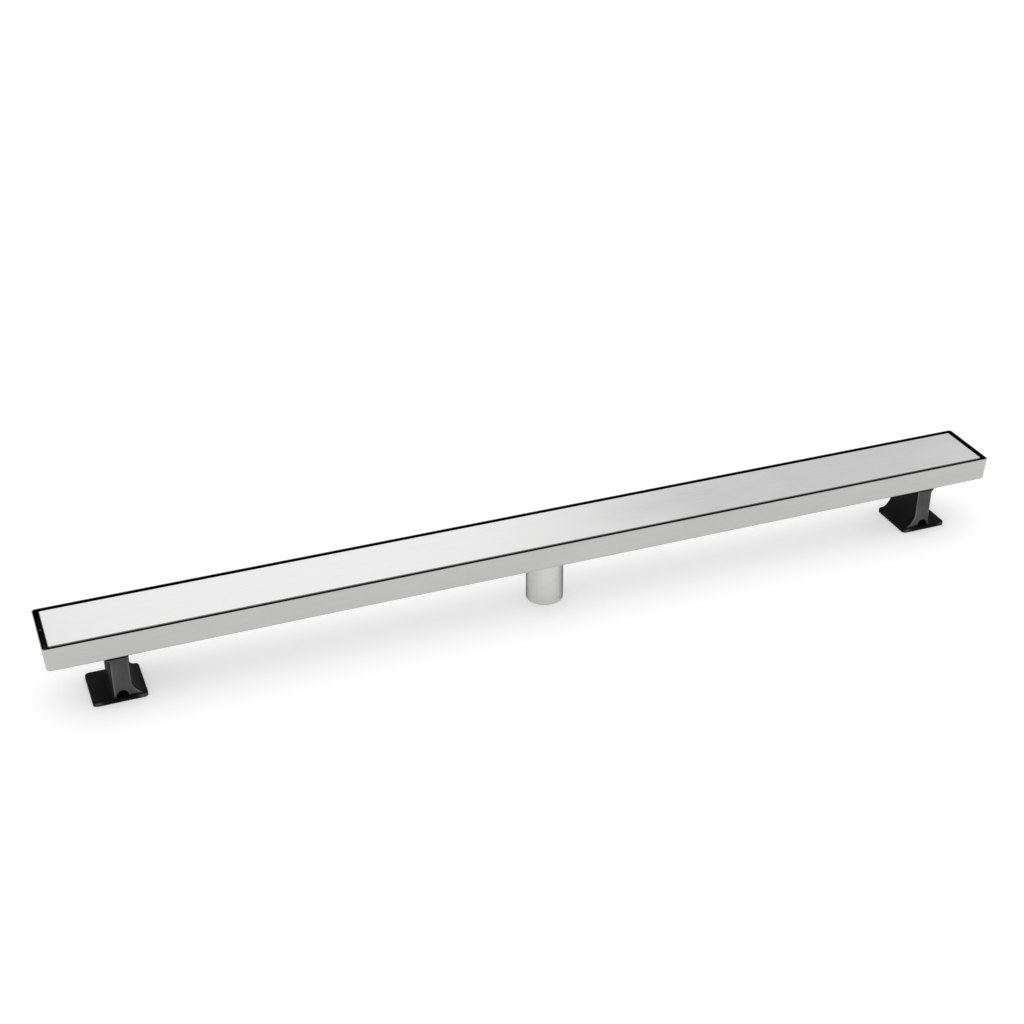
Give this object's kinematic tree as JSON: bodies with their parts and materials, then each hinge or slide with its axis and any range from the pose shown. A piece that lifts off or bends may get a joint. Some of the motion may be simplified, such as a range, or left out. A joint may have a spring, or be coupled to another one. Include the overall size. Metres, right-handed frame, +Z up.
{
  "type": "linear shower drain",
  "caption": "Linear shower drain: long shallow stainless trough with a flush plain cover, a round outlet stub under its middle and black levelling feet that screw up and down.",
  "frame": {"origin": "on the surface the feet stand on, under the middle of the drain and the outlet's axis", "axes": "+X along the drain, +Y across it to the back, +Z up through the cover"},
  "size_m": [1, 0.0724, 0.0795],
  "materials": {
    "trough_steel": "satin stainless sheet, pickled after welding",
    "cover_steel": "fine lengthwise satin brushing",
    "tube_steel": "smooth drawn stainless tube, half bright",
    "inner_steel": "mill-finish stainless sheet and wire",
    "stud_steel": "plain stainless weld stud with a metric thread",
    "foot_plastic": "black moulded plastic with a soft sheen",
    "nut_plastic": "black moulded nylon",
    "pad_rubber": "black rubber"
  },
  "bodies": {
    "drain": {"channel_body": "trough_steel", "outlet_pipe": "tube_steel", "cover_tray": "cover_steel", "cover_rest_far_left": "inner_steel", "cover_rest_left": "inner_steel", "cover_rest_right": "inner_steel", "cover_rest_far_right": "inner_steel", "cover_pads": "pad_rubber", "hair_strainer": "inner_steel", "strainer_handle": "inner_steel", "foot_stud_left": "stud_steel", "foot_stud_right": "stud_steel"},
    "left_foot": {"foot_left": "foot_plastic"},
    "left_nut": {"adjusting_nut_left": "nut_plastic"},
    "right_foot": {"foot_right": "foot_plastic"},
    "right_nut": {"adjusting_nut_right": "nut_plastic"}
  },
  "joints": [
    {"name": "left_foot_height", "type": "slide", "parent": "drain", "child": "left_foot", "axis": [0, 0, -1], "range_m": [-0.00125, 0.015]},
    {"name": "left_nut_turn", "type": "hinge", "parent": "left_foot", "child": "left_nut", "pos_m": [-0.433, 0, 0.05], "axis": [0, 0, -1], "range_deg": [-361, 4321]},
    {"name": "right_foot_height", "type": "slide", "parent": "drain", "child": "right_foot", "axis": [0, 0, -1], "range_m": [-0.00125, 0.015]},
    {"name": "right_nut_turn", "type": "hinge", "parent": "right_foot", "child": "right_nut", "pos_m": [0.433, 0, 0.05], "axis": [0, 0, -1], "range_deg": [-361, 4321]}
  ],
  "couplings": [
    {"joint": "left_nut_turn", "follows": "left_foot_height", "rad_per_m": 5026.5},
    {"joint": "right_nut_turn", "follows": "right_foot_height", "rad_per_m": 5026.5}
  ]
}
